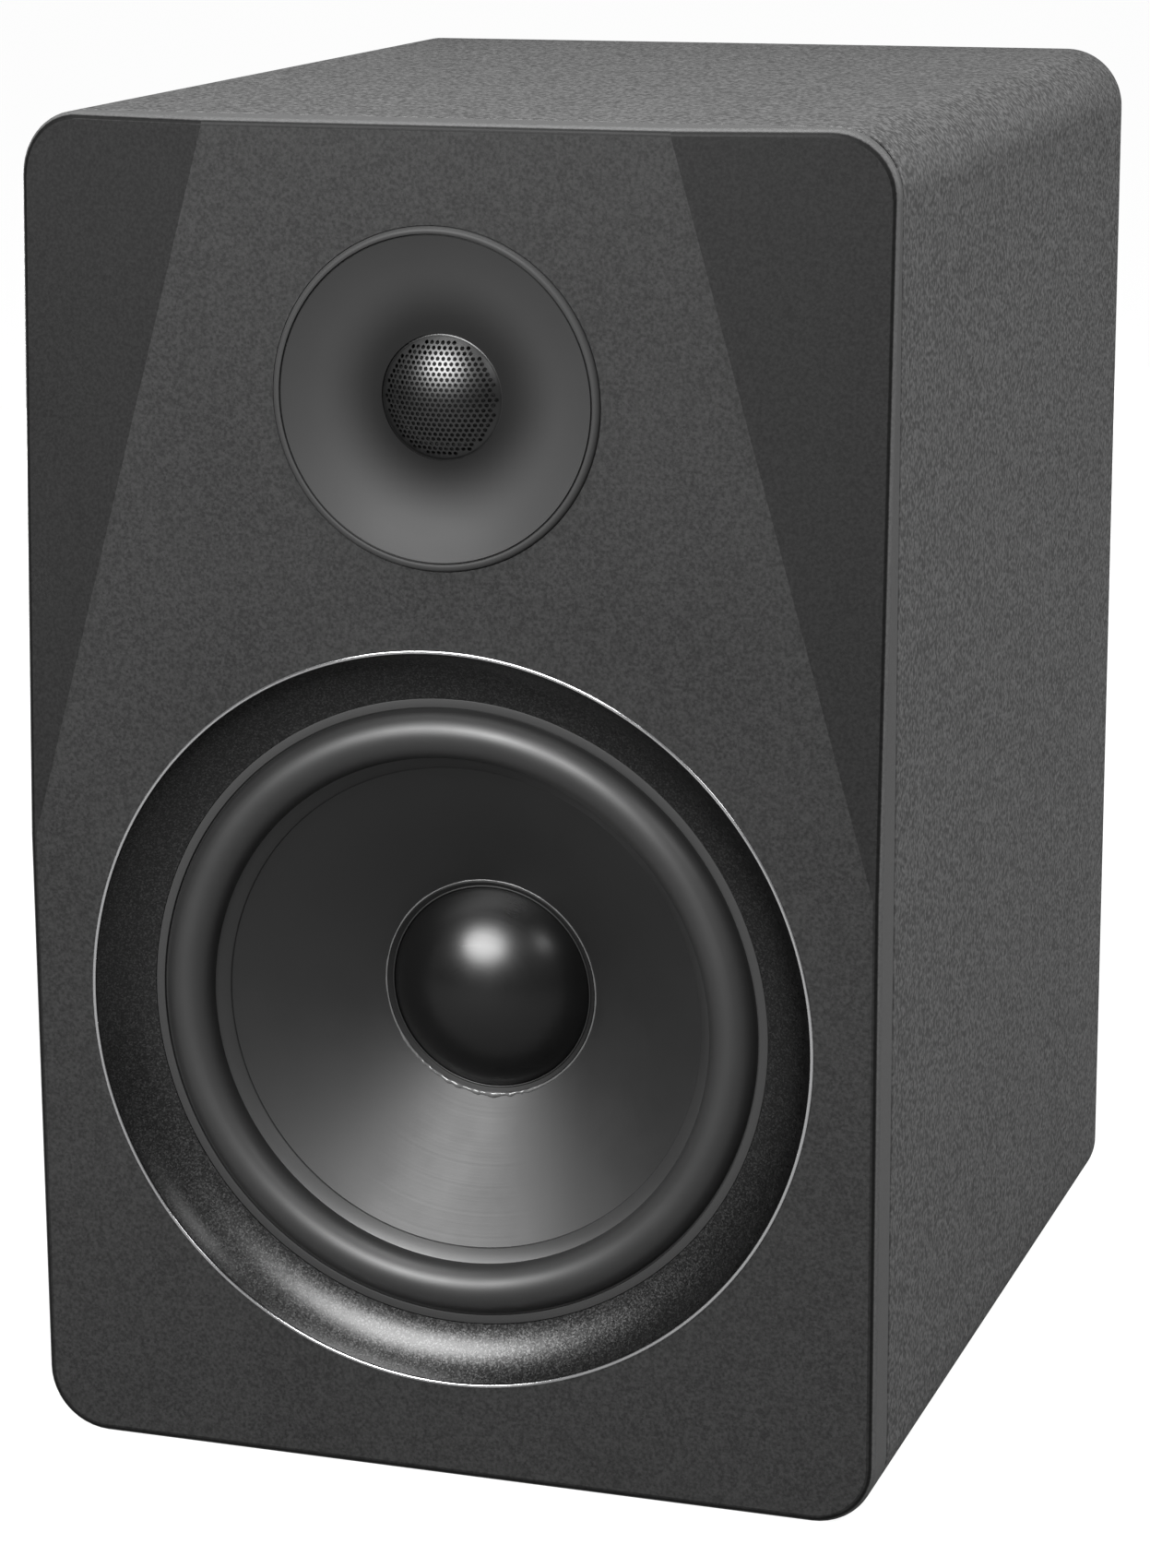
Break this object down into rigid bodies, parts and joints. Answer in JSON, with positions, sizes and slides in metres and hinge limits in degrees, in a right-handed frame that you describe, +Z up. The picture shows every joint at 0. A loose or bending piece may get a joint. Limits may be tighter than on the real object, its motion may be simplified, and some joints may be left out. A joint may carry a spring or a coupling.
{
  "type": "bookshelf speaker",
  "caption": "Powered two-way bookshelf speaker: round woofer with a bright trim ring below a domed tweeter in a shallow waveguide, faceted front baffle, rear port and amplifier plate.",
  "frame": {"origin": "middle of the cabinet's bottom face, on the surface it stands on", "axes": "+X across the front to the right seen from the front, +Y from the front to the rear, +Z up"},
  "size_m": [0.254, 0.327, 0.39],
  "materials": {
    "vinyl": "fine pebble-grain black vinyl wrapped over fibreboard",
    "baffle_satin": "smooth satin charcoal skin over fibreboard",
    "chrome_trim": "bright polished chrome",
    "trim_metallic": "satin black paint with fine metallic sparkle",
    "soft_gasket": "closed-cell black foam rubber",
    "rubber_roll": "smooth satin butyl rubber",
    "cone_poly": "satin mineral-filled polypropylene",
    "cap_gloss": "gloss black dust cap",
    "coil_copper": "enamelled copper winding",
    "former_aluminium": "thin drawn aluminium",
    "spider_cloth": "resin-stiffened pressed cotton",
    "zinc_steel": "clear zinc plated steel",
    "ferrite": "ground sintered ferrite",
    "frame_black": "black powder-coated steel",
    "phenolic": "brown phenolic board with tinned tabs",
    "waveguide_black": "fine satin moulded black plastic",
    "mesh_black": "glossy black perforated steel mesh",
    "dome_silk": "coated black silk",
    "port_black": "satin moulded black plastic",
    "foam_grey": "open-cell charcoal polyurethane foam",
    "plate_black": "fine-texture black powder coat on steel",
    "heatsink_black": "black anodised extruded aluminium",
    "screw_black": "black oxide steel",
    "board_green": "green solder mask over fibreglass",
    "capacitor_sleeve": "dark blue shrink sleeve",
    "chip_epoxy": "black moulded epoxy",
    "winding_tape": "amber polyester film over copper windings",
    "knob_black": "soft-touch black plastic",
    "socket_black": "moulded black nylon",
    "nickel": "satin nickel plated steel",
    "fuse_glass": "glass tube fuse with nickel end caps",
    "lead_sheath": "red and black twin lead"
  },
  "bodies": {
    "cabinet": {"cabinet_shell": "vinyl", "front_baffle": "baffle_satin", "rear_panel": "vinyl", "port_tube": "port_black", "damping_foam": "foam_grey", "woofer_chrome_ring": "chrome_trim", "woofer_trim_ring": "trim_metallic", "woofer_gasket": "soft_gasket", "woofer_seal": "soft_gasket", "woofer_surround": "rubber_roll", "woofer_spider": "spider_cloth", "woofer_basket": "frame_black", "woofer_top_plate": "zinc_steel", "woofer_magnet": "ferrite", "woofer_yoke": "zinc_steel", "woofer_terminals": "phenolic", "woofer_screws": "screw_black", "tweeter_waveguide": "waveguide_black", "tweeter_grille": "mesh_black", "tweeter_suspension_ring": "port_black", "tweeter_top_plate": "zinc_steel", "tweeter_magnet": "ferrite", "tweeter_yoke": "zinc_steel", "tweeter_terminals": "phenolic", "tweeter_screws": "screw_black", "amp_plate": "plate_black", "amp_gasket": "soft_gasket", "amp_screws": "screw_black", "heatsink": "heatsink_black", "circuit_board": "board_green", "board_standoffs": "nickel", "filter_capacitors": "capacitor_sleeve", "amplifier_chips": "chip_epoxy", "mains_transformer": "winding_tape", "transformer_pad": "soft_gasket", "transformer_washer": "zinc_steel", "transformer_bolt": "zinc_steel", "control_pots": "nickel", "xlr_socket": "socket_black", "jack_socket": "socket_black", "mains_inlet": "socket_black", "power_switch_body": "socket_black", "socket_screws": "screw_black", "speaker_leads": "lead_sheath"},
    "woofer_diaphragm": {"woofer_cone": "cone_poly", "woofer_dust_cap": "cap_gloss", "woofer_coil_former": "former_aluminium", "woofer_voice_coil": "coil_copper"},
    "tweeter_diaphragm": {"tweeter_dome": "dome_silk", "tweeter_voice_coil": "coil_copper"},
    "level_control": {"level_knob": "knob_black", "level_spindle": "nickel"},
    "treble_control": {"treble_knob": "knob_black", "treble_spindle": "nickel"},
    "bass_control": {"bass_knob": "knob_black", "bass_spindle": "nickel"},
    "rocker": {"power_rocker": "socket_black"},
    "fuse_carrier": {"fuse_drawer": "socket_black", "mains_fuse": "fuse_glass"},
    "latch_tab": {"xlr_latch": "nickel"}
  },
  "joints": [
    {"name": "woofer_stroke", "type": "slide", "parent": "cabinet", "child": "woofer_diaphragm", "axis": [0, -1, 0], "range_m": [-0.005, 0.005], "stiffness_N_per_m": 1800, "deforming": ["woofer_surround", "woofer_spider"]},
    {"name": "tweeter_stroke", "type": "slide", "parent": "cabinet", "child": "tweeter_diaphragm", "axis": [0, -1, 0], "range_m": [-0.0004, 0.0004], "stiffness_N_per_m": 400},
    {"name": "level_turn", "type": "hinge", "parent": "cabinet", "child": "level_control", "pos_m": [0.052, 0.16, 0.15], "axis": [0, 1, 0], "range_deg": [-150, 150]},
    {"name": "treble_turn", "type": "hinge", "parent": "cabinet", "child": "treble_control", "pos_m": [0.016, 0.16, 0.15], "axis": [0, 1, 0], "range_deg": [-150, 150]},
    {"name": "bass_turn", "type": "hinge", "parent": "cabinet", "child": "bass_control", "pos_m": [-0.016, 0.16, 0.15], "axis": [0, 1, 0], "range_deg": [-150, 150]},
    {"name": "rocker_tilt", "type": "hinge", "parent": "cabinet", "child": "rocker", "pos_m": [-0.062, 0.1533, 0.114], "axis": [1, 0, 0], "range_deg": [0, 16]},
    {"name": "fuse_drawer_pull", "type": "slide", "parent": "cabinet", "child": "fuse_carrier", "axis": [0, 1, 0], "range_m": [0, 0.02]},
    {"name": "latch_press", "type": "slide", "parent": "cabinet", "child": "latch_tab", "axis": [0, -1, 0], "range_m": [0, 0.0015], "stiffness_N_per_m": 200}
  ]
}
